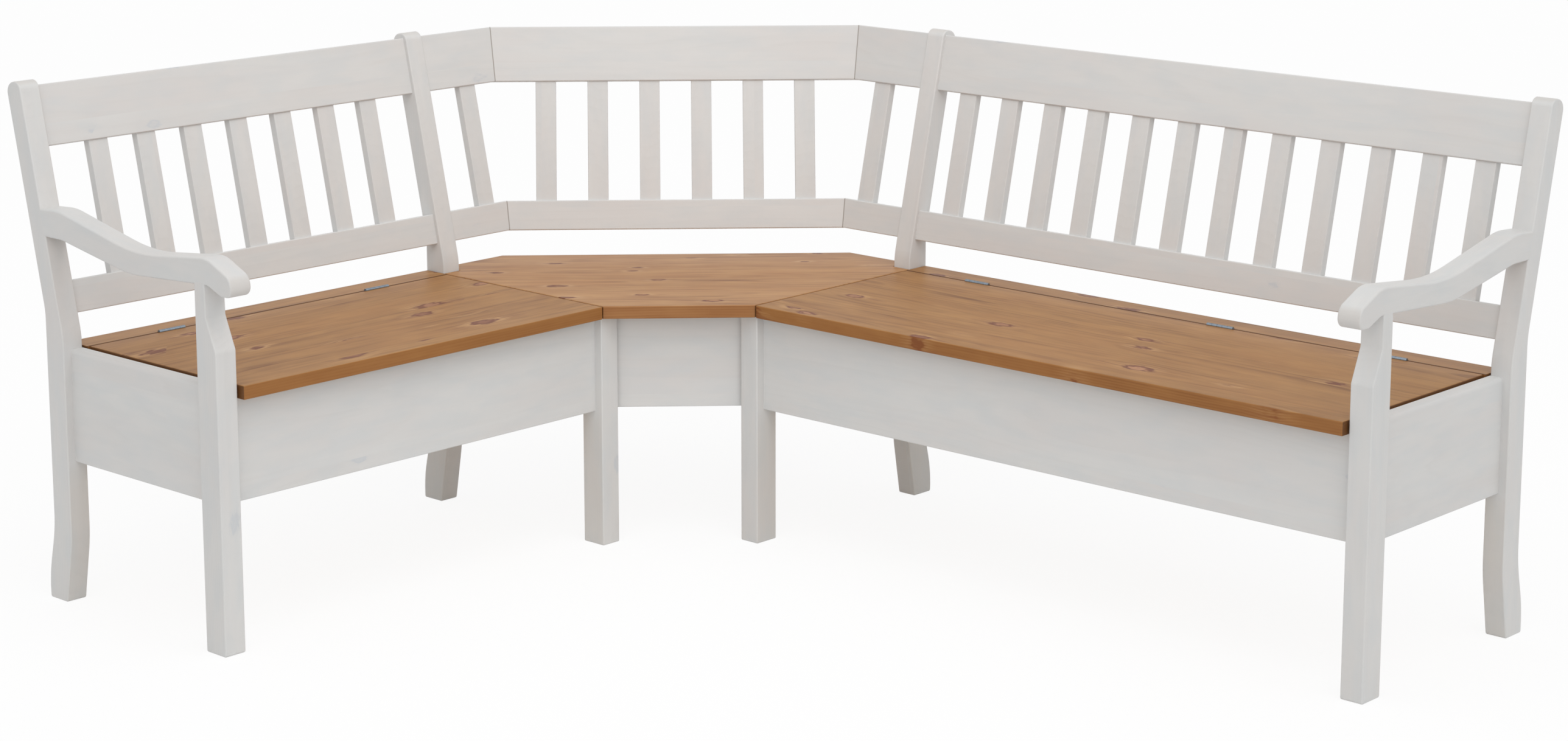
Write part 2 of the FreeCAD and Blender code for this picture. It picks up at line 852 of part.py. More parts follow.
# The corner seat, its battens and the apron below it
def corner_seat():
    inset = seat_back_inset
    cut = corner_seat_cut - inset
    notch = post_corner_face - post_clearance
    face = post_depth + post_clearance
    front = seat_depth - corner_seat_front_step
    half = [
        (cut, -inset),
        (notch, -inset),
        (notch, -face),
        (post_reach, -face),
        (post_reach, -front),
    ]
    other = [(-y, -x) for x, y in reversed(half)]
    corners = [Vector(x, y, board_underside) for x, y in half + other]
    face = Part.Face(Part.makePolygon(corners + [corners[0]]))
    solid = face.extrude(Vector(0, 0, seat_thickness))
    rims = [edge for edge in solid.Edges if edge.BoundBox.ZLength < same_place]
    return solid.makeFillet(board_round, rims)


def corner_battens():
    back = corner_seat_cut / root_two + corner_batten_back
    front = apron_reach - apron_thickness - corner_batten_front
    low = board_underside - lid_batten_thickness
    panel_face = inner_leg_reach - inner_panel_inset - inner_panel_thickness
    outer_edge = root_two * (panel_face - corner_batten_gap) - front
    battens = []
    for side in (-1, 1):
        centre = side * (outer_edge - lid_batten_width / 2)
        near = Vector(back, centre - lid_batten_width / 2, low)
        far = Vector(front, centre + lid_batten_width / 2, board_underside)
        battens.append(run_diagonal(box(near, far)))
    return group(battens)


def corner_apron():
    """A diagonal panel whose ends lie against the corner faces of the inner legs."""
    reach = leg_corner_face
    outer = root_two * apron_reach - reach
    inner = root_two * (apron_reach - apron_thickness) - reach
    plan = [(outer, -reach), (reach, -outer), (reach, -inner), (inner, -reach)]
    corners = [Vector(x, y, chest_floor_height) for x, y in plan]
    face = Part.Face(Part.makePolygon(corners + [corners[0]]))
    solid = face.extrude(Vector(0, 0, board_underside - chest_floor_height))
    bottom = [edge for edge in solid.Edges
              if abs(edge.BoundBox.ZMax - chest_floor_height) < same_place]
    seen_bottom = max(bottom, key=lambda edge: edge.CenterOfMass.x - edge.CenterOfMass.y)
    return solid.makeFillet(board_round, [seen_bottom])


def apron_blocks():
    """Glue blocks between the back of the apron and the inner legs."""
    reach = leg_corner_face
    inner = root_two * (apron_reach - apron_thickness) - reach
    low = chest_floor_height + apron_block_inset
    height = board_underside - apron_block_inset - low
    plan = [
        (inner, -reach),
        (inner - apron_block_back, -reach),
        (inner + apron_block_width, -reach + apron_block_width),
    ]
    corners = [Vector(x, y, low) for x, y in plan]
    block = Part.Face(Part.makePolygon(corners + [corners[0]])).extrude(Vector(0, 0, height))
    return group([block, block.mirror(Vector(0, 0, 0), Vector(1, 1, 0))])


def make_corner_seat():
    pieces["corner_seat"] = corner_seat()
    pieces["corner_seat_battens"] = corner_battens()
    pieces["corner_apron"] = corner_apron()
    pieces["corner_apron_blocks"] = apron_blocks()


def place_benches():
    for name in list(pieces):
        side = name.split("_")[0]
        pieces[name] = run[side](pieces[name])


def gather_fixings():
    """Like fixings of the two benches that stay still are kept as one piece."""
    for kind in ("arm_dowels", "hinge_pins", "strip_screws"):
        fixings = []
        for name in bench_lengths:
            fixings += pieces.pop(name + "_" + kind).Solids
        pieces[kind] = group(fixings)


def write_pieces():
    """Moves the origin to the middle of the footprint on the floor and writes every piece."""
    extent = group(list(pieces.values())).optimalBoundingBox()
    shift = Vector(-extent.Center.x, -extent.Center.y, 0)
    print("origin shift", shift.x, shift.y, "size", extent.XLength, extent.YLength, extent.ZLength)
    os.makedirs("parts", exist_ok=True)
    for name, shape in pieces.items():
        placed = shape.copy()
        placed.translate(shift)
        placed.exportStep("parts/" + name + ".step")


for bench_name in bench_lengths:
    make_bench(bench_name)
place_benches()
gather_fixings()
make_corner_back()
make_corner_seat()
write_pieces()
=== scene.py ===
import math

import bmesh
import bpy
from mathutils import Matrix, Vector


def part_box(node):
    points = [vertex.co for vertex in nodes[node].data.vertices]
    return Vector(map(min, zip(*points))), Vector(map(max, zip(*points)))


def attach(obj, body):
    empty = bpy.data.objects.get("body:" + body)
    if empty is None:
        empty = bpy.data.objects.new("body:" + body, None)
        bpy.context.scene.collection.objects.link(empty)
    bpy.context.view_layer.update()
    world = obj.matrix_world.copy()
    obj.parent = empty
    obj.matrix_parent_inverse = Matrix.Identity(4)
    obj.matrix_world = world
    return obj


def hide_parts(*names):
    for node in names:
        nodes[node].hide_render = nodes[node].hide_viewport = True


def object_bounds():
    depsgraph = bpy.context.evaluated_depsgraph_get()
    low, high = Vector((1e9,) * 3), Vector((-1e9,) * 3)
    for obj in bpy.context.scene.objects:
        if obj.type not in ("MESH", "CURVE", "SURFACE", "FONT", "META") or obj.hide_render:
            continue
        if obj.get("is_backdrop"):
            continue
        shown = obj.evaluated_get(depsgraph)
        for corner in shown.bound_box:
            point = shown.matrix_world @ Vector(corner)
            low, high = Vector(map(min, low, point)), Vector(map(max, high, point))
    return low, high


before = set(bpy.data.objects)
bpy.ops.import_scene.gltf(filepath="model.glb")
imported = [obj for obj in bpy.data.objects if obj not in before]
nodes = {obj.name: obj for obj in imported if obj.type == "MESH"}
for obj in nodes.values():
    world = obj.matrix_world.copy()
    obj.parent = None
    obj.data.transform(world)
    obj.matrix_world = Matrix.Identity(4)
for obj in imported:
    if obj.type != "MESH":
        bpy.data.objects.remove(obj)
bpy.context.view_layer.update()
print("frame loaded:", len(nodes), "nodes")


def toLinear(hexColour):
    # sRGB hex to the linear values that the shaders take
    parts = [int(hexColour[i:i + 2], 16) / 255 for i in (1, 3, 5)]
    return tuple(c / 12.92 if c <= 0.04045 else ((c + 0.055) / 1.055) ** 2.4 for c in parts) + (1,)


def add(tree, kind, links=None, **settings):
    # one node, with its settings, and its inputs linked or set
    made = tree.nodes.new("ShaderNode" + kind)
    for name, value in settings.items():
        setattr(made, name, value)
    for key, value in (links or {}).items():
        if isinstance(value, bpy.types.NodeSocket):
            tree.links.new(value, made.inputs[key])
        else:
            made.inputs[key].default_value = value
    return made


def emptyTree(holder):
    # a material's or a world's node tree, with nothing in it
    holder.use_nodes = True
    holder.node_tree.nodes.clear()
    return holder.node_tree


# lacquered pine, stained honey brown and glued up from staves: satin, the late wood
# and the outlines of the knots darker, each stave a little different in tone
stainedBoard = dict(
    early="#AC7D48", late="#73461E", knot="#703A1E", heart="#B98660", halo="#D0A470", tint="#A3703C",
    # paintedEdgeShade: the side faces are painted darker, as shade on the faces turned from the light
    blotch="#BC8B51", seam="#3E200C", endShade="#5E3819", paintedEdgeShade="#8E5420",
    lateShare=0.6, fibres=0.3, bands=0.14, tintShare=0.45, blotchShare=0.3, haloShare=0.7, flareShare=0.7,
    # endShare: end grain takes more stain, and on the seat boards it is darker still as painted shade in the
    # gaps at the corner seat
    endShare=0.85, edgeShare=0.5,
    # gapShadeWidth: how wide the painted shade along the hinge gaps is, in the seam colour
    stave=0.098, staveTones=0.14, seamWidth=0.0008, seamShare=0.22, gapShadeWidth=0.0045,
    ring=0.0048, wander=0.030, pithNear=0.055, pithFar=0.13,
    knots=0.7, knotSize=0.018, roughness=0.46, specular=0.3, relief=0.0001)

# the same board in the corner, painted lighter to stand for the brighter light near the corner, and with more
# small knots
cornerBoard = dict(
    stainedBoard, early="#BC8D5E", late="#7F4F2A", heart="#B48258", halo="#D6AE82", tint="#B07A48",
    blotch="#C79A66", gapShadeWidth=0, knots=0.9, knotSize=0.011)

# white glaze brushed on sanded pine: nearly even, the grain only just shows, and
# knots and resin come through as faint grey-blue and rosy clouds
whiteGlaze = dict(
    early="#DCDBD9", late="#D1CFCC", knot="#CED0D2", heart="#D4D4D4", halo="#D8D8D8", tint="#D4CAC6",
    blotch="#CDD2D4", seam="#8F867E", endShade="#CFC9C3", paintedEdgeShade="#CFC9C3",
    lateShare=0.2, fibres=0.12, bands=0.08, tintShare=0.22, blotchShare=0.3, haloShare=0.2, flareShare=0.1,
    endShare=0.5, edgeShare=0, mitreWidth=0.0012, mitreShare=0.8,
    stave=0.140, staveTones=0.0, seamWidth=0.0006, seamShare=0.0, gapShadeWidth=0,
    ring=0.0050, wander=0.045, pithNear=0.06, pithFar=0.16,
    knots=0.2, knotSize=0.012, roughness=0.48, specular=0.3, relief=0.00006)

# planed pine with no finish, inside the chests and under the seats: pale and matt
rawPine = dict(
    early="#DCC298", late="#C79F69", knot="#8F5D36", heart="#B98A5A", halo="#D6B27E", tint="#D2B080",
    blotch="#DAB988", seam="#B08A58", endShade="#C8A068", paintedEdgeShade="#C8A068",
    lateShare=0.7, fibres=0.3, bands=0.15, tintShare=0.25, blotchShare=0.2, haloShare=0.4, flareShare=0.4,
    endShare=0.6, edgeShare=0.1,
    stave=0.098, staveTones=0.1, seamWidth=0.0006, seamShare=0.35, gapShadeWidth=0,
    ring=0.0038, wander=0.035, pithNear=0.05, pithFar=0.12,
    knots=0.4, knotSize=0.012, roughness=0.62, specular=0.3, relief=0.00012)

# turned beech, bare: even and pinkish, with fine short fibres
beechDowel = dict(
    rawPine, early="#D5B28A", late="#C59F74", tint="#CFA980", blotch="#D8B58E", endShade="#B98F62",
    lateShare=0.4, fibres=0.5, haloShare=0.0, staveTones=0.0, seamShare=0.0, ring=0.002,
    knots=0.0, roughness=0.6, relief=0.00005)


# the grain that all the wood shares. A noise is given by its changes per metre along the grain
# and across it, its detail and its roughness, and "grows" says between which of its values it
# counts
figure = dict(
    sway=(1.5, 2.0, 1.0, 0.4),       # the pith wanders off within half a metre
    uneven=(2.2, 45.0, 2.0, 0.5),    # wide and narrow years, 22 mm
    bands=(1.2, 26.0, 3.0, 0.6),     # more and less late wood, 38 mm
    fibres=(5.0, 170.0, 4.0, 0.7),   # 6 mm, as the real ones of under 1 mm wouldn't show
    torn=(16.0, 150.0, 2.0, 0.5),    # dark streaks beside the knots, 7 mm
    ragged=(60.0, 190.0, 1.0, 0.5),  # the knots' outlines, 5 mm
    tint=(3.0, 9.0, 2.0, 0.5),       # clouds of 110 mm
    blotch=(12.0, 34.0, 2.0, 0.5),   # clouds of 30 mm
    cloudShift=(5.3, 0.7, 2.9),
    grows=dict(bands=(0.4, 0.62), fibres=(0.38, 0.72), torn=(0.5, 0.66), tint=(0.42, 0.68),
               blotch=(0.42, 0.68), ragged=(0.3, 0.7)),
    logStep=3.71,          # from one stave's place in the log to the next, in metres
    pithSpread=0.9,        # how widely the staves' piths are spread, in staves
    unevenBy=1.2,          # in rings
    leastBands=0.1,        # the late wood that stays between the bands
    cutFace=(0.55, 0.85),  # how squarely a face has to look that way to be end grain or an edge
    gapShadeShare=0.9, topFace=(0.3, 0.8), belowTop=0.2,  # painted shade along the hinge gaps, most on the top face
    reliefShare=0.6,
    # the late wood across a year, darkest near its end
    late=((0.0, 0.0), (0.35, 0.08), (0.72, 0.55), (0.86, 1.0), (0.94, 0.75), (1.0, 0.02)),
    # the shares that are laid over the early wood, from first to last, and their colours
    layers=(("dark", "late"), ("tint", "tint"), ("blotch", "blotch"), ("pale", "halo"), ("flare", "knot"),
            ("inside", "heart"), ("filled", "knot"), ("rim", "knot"), ("edge", "paintedEdgeShade"),
            ("end", "endShade"), ("seam", "seam")))

# knots run through the thickness. Their parts are ovals, each given by how much the grain's
# direction is squeezed, and by where it starts and is full, in knot sizes from the middle
knot = dict(
    cell=(0.310, 0.090, 0.090),  # at most one knot in each of these, in metres
    scatter=0.9, throughSqueeze=0.3, smallest=0.4, filled=0.8, ragged=0.25,
    rimSqueeze=0.52, inside=(1.0, 0.7), haloSqueeze=0.45, halo=(2.4, 0.8),
    flareSqueeze=0.2, flare=(1.9, 0.6),
    # from the middle to the reach: a dark pith, and a dark rim at six tenths of the way
    rimReach=1.5,
    rim=((0.0, 0.7), (0.10, 0.1), (0.40, 0.15), (0.52, 1.0), (0.66, 0.95), (0.80, 0.2), (1.0, 0.0)))


def knotShares(tree, look, log, bumpy):
    # how much each point is in the parts of the nearest knot
    cell = Vector(knot["cell"])
    cells = add(tree, "VectorMath", {0: log, 1: cell}, operation="DIVIDE").outputs[0]
    found = add(tree, "TexVoronoi", {
        "Vector": cells, "Scale": 1.0, "Randomness": knot["scatter"]}, voronoi_dimensions="3D").outputs
    away = add(tree, "VectorMath", {0: cells, 1: found["Position"]}, operation="SUBTRACT").outputs[0]
    away = add(tree, "VectorMath", {
        0: away, 1: cell * Vector((1, 1, knot["throughSqueeze"]))}, operation="MULTIPLY").outputs[0]
    beside = add(tree, "SeparateXYZ", {0: away}).outputs[1]
    luck = add(tree, "SeparateColor", {0: found["Color"]}).outputs
    largest = look["knotSize"]
    size = add(tree, "MapRange", {
        0: luck[0], 1: 0.0, 2: 1.0, 3: largest * knot["smallest"], 4: largest}).outputs[0]
    here = add(tree, "Math", {0: luck[1], 1: look["knots"]}, operation="LESS_THAN").outputs[0]
    filled = add(tree, "Math", {0: luck[2], 1: knot["filled"]}, operation="MULTIPLY").outputs[0]
    far = {}
    for part in ("rim", "halo", "flare"):
        squeeze = (knot[part + "Squeeze"], 1, 1)
        oval = add(tree, "VectorMath", {0: away, 1: squeeze}, operation="MULTIPLY").outputs[0]
        oval = add(tree, "VectorMath", {0: oval}, operation="LENGTH").outputs["Value"]
        far[part] = add(tree, "Math", {0: oval, 1: size}, operation="DIVIDE").outputs[0]
    low, high = figure["grows"]["ragged"]
    bumps = add(tree, "MapRange", {
        0: bumpy, 1: low, 2: high, 3: -knot["ragged"], 4: knot["ragged"]}).outputs[0]
    far["inside"] = add(tree, "Math", {0: far["rim"], 1: bumps}, operation="ADD").outputs[0]
    shares = {}
    for part, rise in (("inside", "LINEAR"), ("halo", "SMOOTHSTEP"), ("flare", "SMOOTHSTEP")):
        start, full = knot[part]
        share = add(tree, "MapRange", {
            0: far[part], 1: start, 2: full, 3: 0.0, 4: 1.0}, interpolation_type=rise).outputs[0]
        shares[part] = add(tree, "Math", {0: share, 1: here}, operation="MULTIPLY").outputs[0]
    shares["filled"] = add(tree, "Math", {0: shares["inside"], 1: filled}, operation="MULTIPLY").outputs[0]
    parted = add(tree, "Math", {0: shares["halo"], 1: beside}, operation="MULTIPLY").outputs[0]
    onRim = add(tree, "Math", {0: far["inside"], 1: knot["rimReach"]}, operation="DIVIDE").outputs[0]
    return shares, here, onRim, parted


def yearRings(tree, look, onFace, through, chance, noise):
    # how far into its year each point is: the rings lie round a pith that wanders along the
    # stave, off the board
    spot = add(tree, "CombineXYZ", {0: 0.0, 1: onFace, 2: through}).outputs[0]
    spread, wander = look["stave"] * figure["pithSpread"], look["wander"]
    nearest = (0, -spread / 2 - wander / 2, look["pithNear"] - wander / 2)
    reach = (0, spread, look["pithFar"] - look["pithNear"])
    pith = add(tree, "VectorMath", {
        0: chance["Color"], 1: reach, 2: nearest}, operation="MULTIPLY_ADD").outputs[0]
    pith = add(tree, "VectorMath", {
        0: noise["sway"]["Color"], 1: (0, wander, wander), 2: pith}, operation="MULTIPLY_ADD").outputs[0]
    spot = add(tree, "VectorMath", {0: spot, 1: pith}, operation="ADD").outputs[0]
    radius = add(tree, "VectorMath", {0: spot}, operation="LENGTH").outputs["Value"]
    shift = look["ring"] * figure["unevenBy"]
    radius = add(tree, "Math", {
        0: noise["uneven"]["Fac"], 1: shift, 2: radius}, operation="MULTIPLY_ADD").outputs[0]
    rings = add(tree, "Math", {0: radius, 1: look["ring"]}, operation="DIVIDE").outputs[0]
    return add(tree, "Math", {0: rings}, operation="FRACT").outputs[0]


def seamLines(tree, look, middle, across, facing, place, mitres):
    # dark lines between the staves and at the mitres, and painted shade along the hinge gaps
    half, edge = 0.5, look["seamWidth"] / look["stave"]
    off = add(tree, "Math", {0: middle}, operation="ABSOLUTE").outputs[0]
    seam = add(tree, "MapRange", {
        0: off, 1: half - edge, 2: half - edge / 2, 3: 0.0, 4: look["seamShare"]}).outputs[0]
    if look["gapShadeWidth"]:  # painted shade along the hinge gaps, most on the top face
        wide = look["gapShadeWidth"]
        gap = add(tree, "Math", {0: across}, operation="ABSOLUTE").outputs[0]
        gap = add(tree, "MapRange", {0: gap, 1: wide, 2: wide / 2, 3: 0.0, 4: figure["gapShadeShare"]}).outputs[0]
        low, high = figure["topFace"]
        onTop = add(tree, "MapRange", {
            0: facing[2], 1: low, 2: high, 3: figure["belowTop"], 4: 1.0}).outputs[0]
        gap = add(tree, "Math", {0: gap, 1: onTop}, operation="MULTIPLY").outputs[0]
        seam = add(tree, "Math", {0: seam, 1: gap}, operation="MAXIMUM").outputs[0]
    for point, normal in mitres:
        wide = look["mitreWidth"]
        past = add(tree, "VectorMath", {0: place, 1: point}, operation="SUBTRACT").outputs[0]
        past = add(tree, "VectorMath", {0: past, 1: normal}, operation="DOT_PRODUCT").outputs["Value"]
        past = add(tree, "Math", {0: past}, operation="ABSOLUTE").outputs[0]
        past = add(tree, "MapRange", {
            0: past, 1: wide, 2: wide / 2, 3: 0.0, 4: look["mitreShare"]}).outputs[0]
        seam = add(tree, "Math", {0: seam, 1: past}, operation="MAXIMUM").outputs[0]
    return seam


def woodMaterial(name, look, grain, width, corner, mitres):
    # one board's wood: the grain's direction, the width's, a corner of its face, and the
    # planes where it is mitred, each a point and a normal
    made = bpy.data.materials.new(name)
    tree = emptyTree(made)
    turn = Matrix((grain, width, grain.cross(width)))
    place = add(tree, "TexCoord").outputs
    board = add(tree, "Mapping", {
        "Vector": place["Object"], "Rotation": turn.to_euler(), "Location": -(turn @ corner)}).outputs[0]
    along, across, through = add(tree, "SeparateXYZ", {0: board}).outputs
    facing = add(tree, "Mapping", {
        "Vector": place["Normal"], "Rotation": turn.to_euler()}, vector_type="VECTOR").outputs[0]
    facing = add(tree, "VectorMath", {0: facing}, operation="ABSOLUTE").outputs[0]
    facing = add(tree, "SeparateXYZ", {0: facing}).outputs

    # staves, each cut from its own part of a log
    stave = look["stave"]
    steps = add(tree, "Math", {0: across, 1: stave}, operation="DIVIDE").outputs[0]
    index = add(tree, "Math", {0: steps}, operation="FLOOR").outputs[0]
    middle = add(tree, "Math", {0: steps}, operation="FRACT").outputs[0]
    middle = add(tree, "Math", {0: middle, 1: 0.5}, operation="SUBTRACT").outputs[0]
    chance = add(tree, "TexWhiteNoise", {"W": index}, noise_dimensions="1D").outputs
    depth = add(tree, "Math", {
        0: index, 1: figure["logStep"], 2: through}, operation="MULTIPLY_ADD").outputs[0]
    log = add(tree, "CombineXYZ", {0: along, 1: across, 2: depth}).outputs[0]
    noise = {}
    for key in ("sway", "uneven", "bands", "fibres", "torn", "ragged", "tint", "blotch"):
        lengthwise, crosswise, detail, roughness = figure[key]
        field = add(tree, "Mapping", {"Vector": log, "Scale": (lengthwise, crosswise, crosswise)})
        if key in ("tint", "blotch"):
            field.inputs["Location"].default_value = figure["cloudShift"]
        noise[key] = add(tree, "TexNoise", {
            "Vector": field.outputs[0], "Scale": 1.0, "Detail": detail, "Roughness": roughness}).outputs

    # the rings part beside a knot and close up again
    shares, here, onRim, parted = knotShares(tree, look, log, noise["ragged"]["Fac"])
    onFace = add(tree, "Math", {0: middle, 1: stave}, operation="MULTIPLY").outputs[0]
    onFace = add(tree, "Math", {0: onFace, 1: parted}, operation="SUBTRACT").outputs[0]
    ring = yearRings(tree, look, onFace, through, chance, noise)
    graded = []
    for value, marks in ((onRim, knot["rim"]), (ring, figure["late"])):
        ramp = add(tree, "ValToRGB", {0: value})
        stops = ramp.color_ramp.elements
        for mark, level in marks[1:-1]:
            stops.new(mark)
        for stop, (mark, level) in zip(stops, marks):
            stop.color = (level, level, level, 1)
        graded.append(ramp.outputs[0])
    shares["rim"] = add(tree, "Math", {0: graded[0], 1: here}, operation="MULTIPLY").outputs[0]

    # late wood and fibres, streaks at the knots and clouds in the finish
    for key, least, most in (
            ("bands", figure["leastBands"], 1.0), ("fibres", 0.0, look["fibres"]),
            ("torn", 0.0, look["flareShare"]), ("tint", 0.0, look["tintShare"]),
            ("blotch", 0.0, look["blotchShare"])):
        low, high = figure["grows"][key]
        shares[key] = add(tree, "MapRange", {
            0: noise[key]["Fac"], 1: low, 2: high, 3: least, 4: most}).outputs[0]
    lines = add(tree, "Math", {0: graded[1], 1: shares["bands"]}, operation="MULTIPLY").outputs[0]
    lines = add(tree, "Math", {0: lines, 1: look["lateShare"]}, operation="MULTIPLY").outputs[0]
    dark = add(tree, "Math", {0: lines, 1: shares["fibres"]}, operation="ADD").outputs[0]
    dark = add(tree, "Math", {
        0: shares["bands"], 1: look["bands"], 2: dark}, operation="MULTIPLY_ADD").outputs[0]
    shares["dark"] = add(tree, "Math", {
        0: chance["Value"], 1: look["staveTones"], 2: dark},
        operation="MULTIPLY_ADD", use_clamp=True).outputs[0]
    shares["flare"] = add(tree, "Math", {
        0: shares["flare"], 1: shares["torn"]}, operation="MULTIPLY").outputs[0]
    pale = add(tree, "Math", {0: 1.0, 1: ring}, operation="SUBTRACT").outputs[0]
    pale = add(tree, "Math", {0: pale, 1: shares["halo"]}, operation="MULTIPLY").outputs[0]
    shares["pale"] = add(tree, "Math", {0: pale, 1: look["haloShare"]}, operation="MULTIPLY").outputs[0]
    # darker end grain and side faces: the end grain takes more stain and is deepened as painted shade in the
    # gaps, and the darker side faces are painted shade
    low, high = figure["cutFace"]
    for key, axis in (("end", 0), ("edge", 1)):
        shares[key] = add(tree, "MapRange", {
            0: facing[axis], 1: low, 2: high, 3: 0.0, 4: look[key + "Share"]}).outputs[0]
    shares["seam"] = seamLines(tree, look, middle, across, facing, place["Object"], mitres)
    colour = toLinear(look["early"])
    for share, tone in figure["layers"]:
        colour = add(tree, "Mix", {
            0: shares[share], 6: colour, 7: toLinear(look[tone])}, data_type="RGBA").outputs[2]

    # the finish sinks into the early wood and stands on the late wood
    height = add(tree, "Math", {0: lines, 1: shares["fibres"]}, operation="SUBTRACT").outputs[0]
    bump = add(tree, "Bump", {
        "Height": height, "Distance": look["relief"], "Strength": figure["reliefShare"]}).outputs[0]
    shader = add(tree, "BsdfPrincipled", {
        "Base Color": colour, "Roughness": look["roughness"], "Specular IOR Level": look["specular"],
        "Normal": bump})
    add(tree, "OutputMaterial", {0: shader.outputs[0]})
    return made


# bright zinc plate on rolled hinges and turned screws: bluish silver with a soft, uneven shine
# in clouds of 3 and 4 mm
zincPlate = dict(
    leaf="#939EA9", leafRoughness=0.38, leafCloud=0.004,
    screw="#C9CCCC", screwRoughness=0.34, screwCloud=0.003,
    wash="#6E7881", washShare=0.35, spread=0.09, cloudGrows=(0.3, 0.7), relief=0.00003)


def metalMaterial(name, part):
    made = bpy.data.materials.new(name)
    tree = emptyTree(made)
    roughness, spread = zincPlate[part + "Roughness"], zincPlate["spread"]
    low, high = zincPlate["cloudGrows"]
    place = add(tree, "TexCoord").outputs["Object"]
    cloud = add(tree, "TexNoise", {
        "Vector": place, "Scale": 1 / zincPlate[part + "Cloud"], "Detail": 3.0}).outputs["Fac"]
    uneven = add(tree, "MapRange", {
        0: cloud, 1: low, 2: high, 3: roughness - spread, 4: roughness + spread}).outputs[0]
    share = add(tree, "MapRange", {0: cloud, 1: low, 2: high, 3: 0.0, 4: zincPlate["washShare"]}).outputs[0]
    wash = add(tree, "Mix", {
        0: share, 6: toLinear(zincPlate[part]), 7: toLinear(zincPlate["wash"])}, data_type="RGBA").outputs[2]
    bump = add(tree, "Bump", {"Height": cloud, "Distance": zincPlate["relief"]}).outputs[0]
    shader = add(tree, "BsdfPrincipled", {
        "Base Color": wash, "Metallic": 1.0, "Roughness": uneven, "Normal": bump})
    add(tree, "OutputMaterial", {0: shader.outputs[0]})
    return made


# directions on the floor: the long bench runs east from the corner, the short one south
east, north, up = Vector((1, 0, 0)), Vector((0, 1, 0)), Vector((0, 0, 1))
aslant, outward = Vector((1, 1, 0)).normalized(), Vector((-1, 1, 0)).normalized()
benches = {"short": (north, east), "long": (east, north)}  # along each bench, and across it
woods = {}


def wood(name, look, grain, width, corner=Vector((0, 0, 0)), mitres=()):
    if name not in woods:
        woods[name] = woodMaterial(name, look, grain, width, corner, mitres)
    return woods[name]


def dress(names, material):
    for name in names:
        shown = nodes[name]
        shown.data.materials.clear()
        shown.data.materials.append(material)


whiteUpright = ("outer_post", "corner_post", "outer_leg", "inner_leg", "back_slats")
whiteLengthwise = ("top_rail", "lower_rail", "front_panel", "rear_panel")
whiteCrosswise = ("armrest", "outer_side_panel", "inner_side_panel")
for bench, (along, across) in benches.items():
    low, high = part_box(bench + "_hinge_strip_leaves")
    seam = (low + high) / 2
    seam.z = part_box(bench + "_lid")[1].z
    dress([f"{bench}_{part}" for part in ("lid", "hinge_strip")], wood(
        bench + " stained board", stainedBoard, along, across, seam))
    dress([f"{bench}_{part}" for part in whiteUpright], wood(
        bench + " white glaze upright", whiteGlaze, up, along))
    dress([f"{bench}_{part}" for part in whiteLengthwise], wood(
        bench + " white glaze lengthwise", whiteGlaze, along, up))
    dress([f"{bench}_{part}" for part in whiteCrosswise], wood(
        bench + " white glaze crosswise", whiteGlaze, across, up))
    dress([f"corner_{bench}_slat"], wood(bench + " white glaze upright", whiteGlaze, up, along))
    dress([f"{bench}_chest_bottom", f"{bench}_bottom_cleats"], wood(
        bench + " raw pine bottom", rawPine, along, across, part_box(bench + "_chest_bottom")[1]))
    dress([bench + "_lid_battens"], wood(
        bench + " raw pine batten", rawPine, across, along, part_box(bench + "_lid_battens")[1]))
dress(["corner_seat"], wood("corner stained board", cornerBoard, aslant, outward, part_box("corner_seat")[1]))
dress(["corner_diagonal_slats"], wood("corner white glaze upright", whiteGlaze, up, aslant))
dress(["corner_apron"], wood("corner white glaze apron", whiteGlaze, aslant, up))
# the rails of the corner's back meet in two mitres, whose outer corners their boxes give
diagonalLow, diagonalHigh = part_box("corner_diagonal_top_rail")
shortMitre = Vector((diagonalLow.x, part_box("corner_short_top_rail")[1].y, 0))
longMitre = Vector((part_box("corner_long_top_rail")[0].x, diagonalHigh.y, 0))
mitres = [(shortMitre, (north + aslant).normalized()), (longMitre, (east + aslant).normalized())]
for run, grain in (("short", north), ("diagonal", aslant), ("long", east)):
    dress([f"corner_{run}_top_rail", f"corner_{run}_lower_rail"], wood(
        f"corner white glaze {run} rails", whiteGlaze, grain, up, mitres=mitres))
dress(["corner_seat_battens"], wood(
    "corner raw pine batten", rawPine, aslant, outward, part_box("corner_seat_battens")[1]))
dress(["corner_apron_blocks"], wood("corner raw pine block", rawPine, up, aslant))
dress(["arm_dowels", "corner_back_dowels", "corner_mitre_dowels"], wood(
    "beech dowel", beechDowel, east, north))
zincHinge = metalMaterial("zinc plated hinge", "leaf")
zincScrew = metalMaterial("zinc plated screw", "screw")
dress([name for name in nodes if "leaves" in name or name == "hinge_pins"], zincHinge)
print("materials:", len(woods) + 2)

# countersunk screws with a cross recess, in place of the plain ones, in metres
screw = dict(
    sides=24, head=0.003, shank=0.0016, slope=0.0009, tip=0.004,
    crossWide=0.0008, crossLong=0.0019, crossDeep=0.0014, crossTaper=0.6,
    turn=1.1,  # in radians from one cross to the next, so that no two stand alike
    join=1e-6)


def islands(mesh):
    # the separate solids of a merged mesh in its own order, each as its list of points
    met = set()
    for first in mesh.verts:
        heap = [] if first in met else [first]
        met.add(first)
        found = []
        while heap:
            vert = heap.pop()
            found.append(vert.co.copy())
            for edge in vert.link_edges:
                other = edge.other_vert(vert)
                if other not in met:
                    met.add(other)
                    heap.append(other)
        if found:
            yield found


